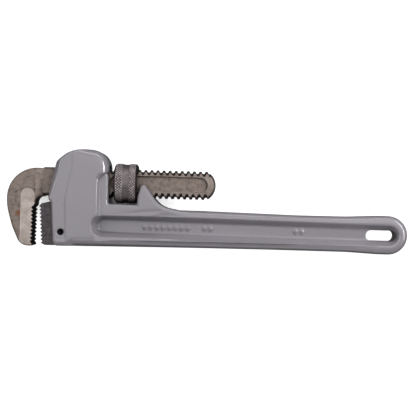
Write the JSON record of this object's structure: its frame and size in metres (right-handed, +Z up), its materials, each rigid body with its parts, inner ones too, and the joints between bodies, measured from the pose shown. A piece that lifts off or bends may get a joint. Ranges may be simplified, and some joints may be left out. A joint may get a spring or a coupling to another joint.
{
  "type": "pipe wrench",
  "caption": "Straight pipe wrench lying on its side: cast I-beam handle, toothed hook jaw on a threaded shank with a knurled nut, pinned heel jaw and a spring under the dome.",
  "frame": {"origin": "middle of the bounding box at the underside of the wrench as it lies flat", "axes": "+X from the jaws to the hanging eye, +Y from the handle to the dome, +Z up through the thickness"},
  "size_m": [0.2976, 0.0724, 0.031],
  "materials": {
    "painted_casting": "smooth grey enamel over a cast aluminium body",
    "forged_steel": "brown forging scale with machined sides",
    "nut_steel": "dark oiled steel with worn knurls",
    "hardened_steel": "black heat-treated steel",
    "spring_steel": "bright spring steel"
  },
  "bodies": {
    "housing": {"handle": "painted_casting", "heel_jaw": "hardened_steel", "heel_jaw_pin": "spring_steel", "coil_spring": "spring_steel"},
    "spring_carrier": {"flat_spring": "spring_steel", "spring_rivet": "spring_steel"},
    "jaw": {"hook_jaw": "forged_steel"},
    "nut": {"adjusting_nut": "nut_steel"}
  },
  "joints": [
    {"name": "jaw_rock", "type": "hinge", "parent": "housing", "child": "spring_carrier", "pos_m": [-0.06155, 0.012, 0.0155], "axis": [0, 0, -1], "range_deg": [0, 4.5], "stiffness_Nm_per_rad": 3.8, "springref_deg": -2.86, "deforming": ["coil_spring"]},
    {"name": "jaw_slide", "type": "slide", "parent": "spring_carrier", "child": "jaw", "axis": [1, 0, 0], "range_m": [-0.0558, 0.0039]},
    {"name": "nut_spin", "type": "hinge", "parent": "spring_carrier", "child": "nut", "pos_m": [-0.06155, 0.012, 0.0155], "axis": [1, 0, 0], "range_deg": [-310, 4417]}
  ],
  "couplings": [
    {"joint": "nut_spin", "follows": "jaw_slide", "rad_per_m": -1380.9}
  ]
}
